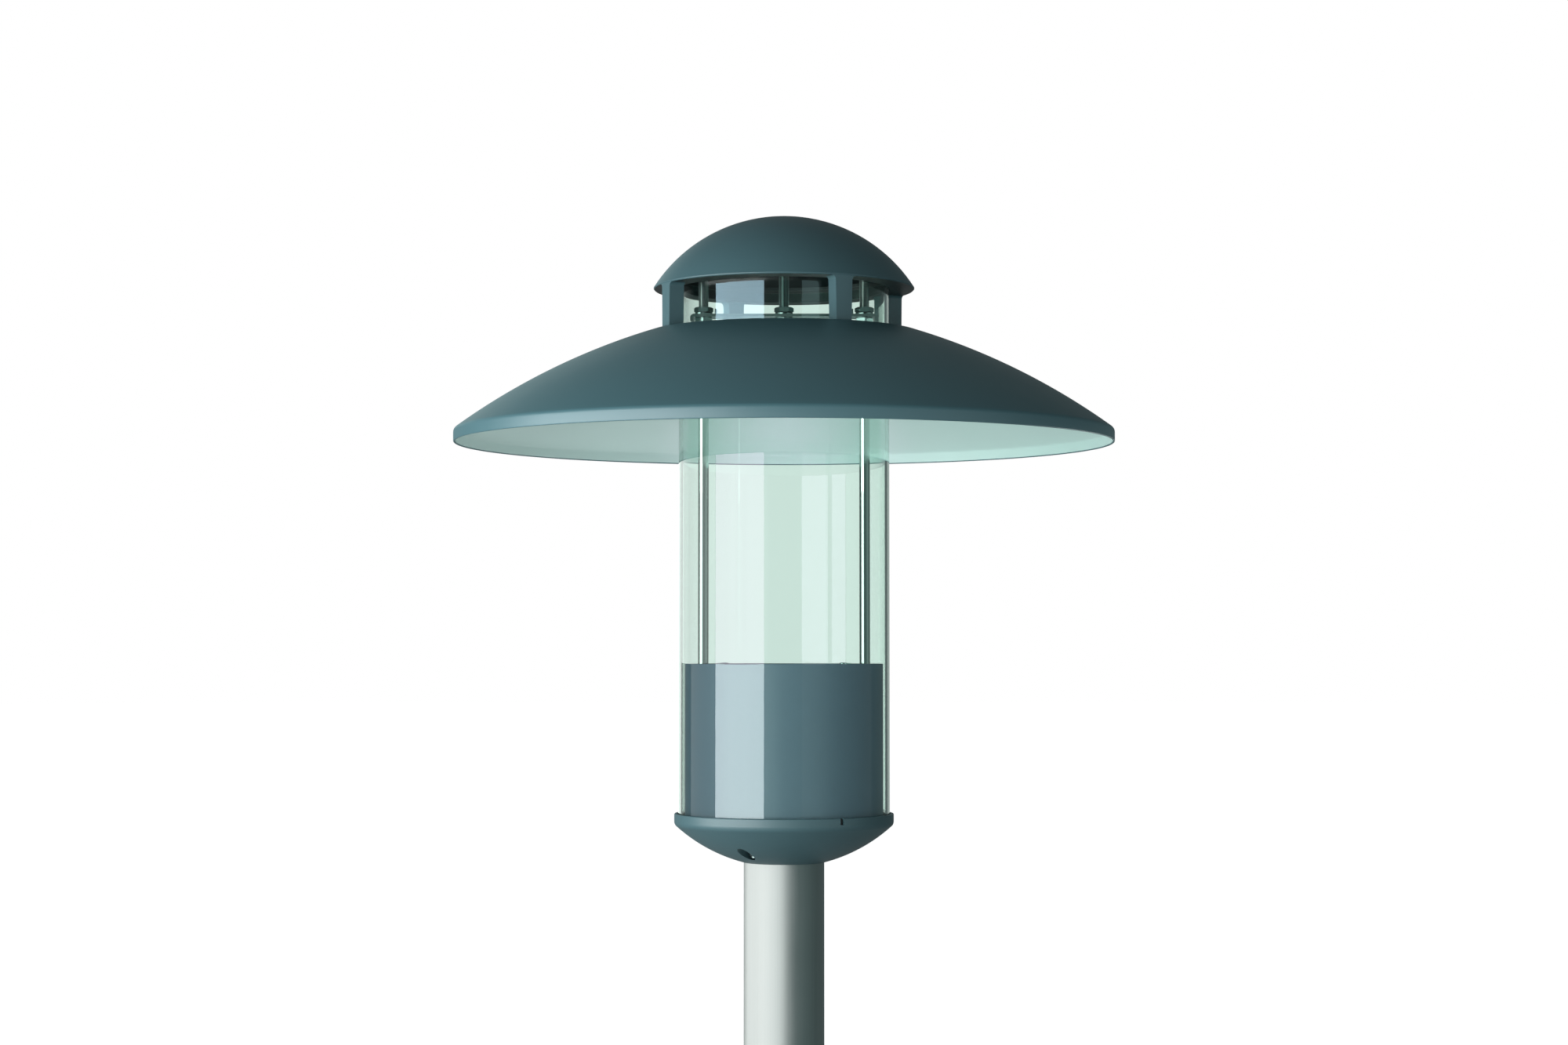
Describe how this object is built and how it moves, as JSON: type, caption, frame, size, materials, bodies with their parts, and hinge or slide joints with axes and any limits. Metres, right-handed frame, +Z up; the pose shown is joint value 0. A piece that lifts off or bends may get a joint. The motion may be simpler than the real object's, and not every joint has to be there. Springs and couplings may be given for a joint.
{
  "type": "mushroom bollard light",
  "caption": "Post light with a clear glass cylinder, a wide curved shade and a small domed cap on legs, on a round steel post with a base flange.",
  "frame": {"origin": "on the ground at the centre of the base flange's underside", "axes": "+Z up along the post, +X along the crossbar between the two rods, -Y towards the front"},
  "size_m": [0.625, 0.625, 0.9999],
  "materials": {
    "grey_paint": "satin, fine texture",
    "shade_paint": "satin grey outside, white inside",
    "housing_paint": "satin",
    "stainless": "satin, ground lengthwise",
    "zinc": "bright zinc plate",
    "clear_glass": "clear, polished",
    "black_rubber": "matt",
    "raw_aluminium": "cast, satin",
    "white_board": "solder mask",
    "emitter_yellow": "phosphor",
    "gear_plastic": "moulded"
  },
  "bodies": {
    "root": {"base_flange": "stainless", "post_tube": "stainless", "bowl": "grey_paint", "set_screws": "zinc", "cable_grommet": "black_rubber", "lower_glass_seal": "black_rubber", "glass_tube": "clear_glass", "upper_glass_seal": "black_rubber", "gear_housing": "housing_paint", "housing_screws": "zinc", "lid_gasket": "black_rubber", "housing_lid": "housing_paint", "lid_screws": "zinc", "rod_grommets": "black_rubber", "lens_seal": "black_rubber", "lens": "clear_glass", "heat_sink": "raw_aluminium", "heat_sink_screws": "zinc", "led_board": "white_board", "led_chips": "emitter_yellow", "gear_tray": "zinc", "tray_screws": "zinc", "led_driver": "gear_plastic", "terminal_block": "gear_plastic", "surge_protector": "gear_plastic", "support_rod_left": "stainless", "support_rod_right": "stainless", "foot_nuts": "zinc", "crossbar": "zinc", "spring_washers": "zinc", "upper_nuts": "zinc", "lower_nuts": "zinc", "dome_stud": "zinc", "dome": "grey_paint", "shade": "shade_paint", "shade_washers": "zinc", "shade_screws": "zinc"}
  },
  "joints": []
}
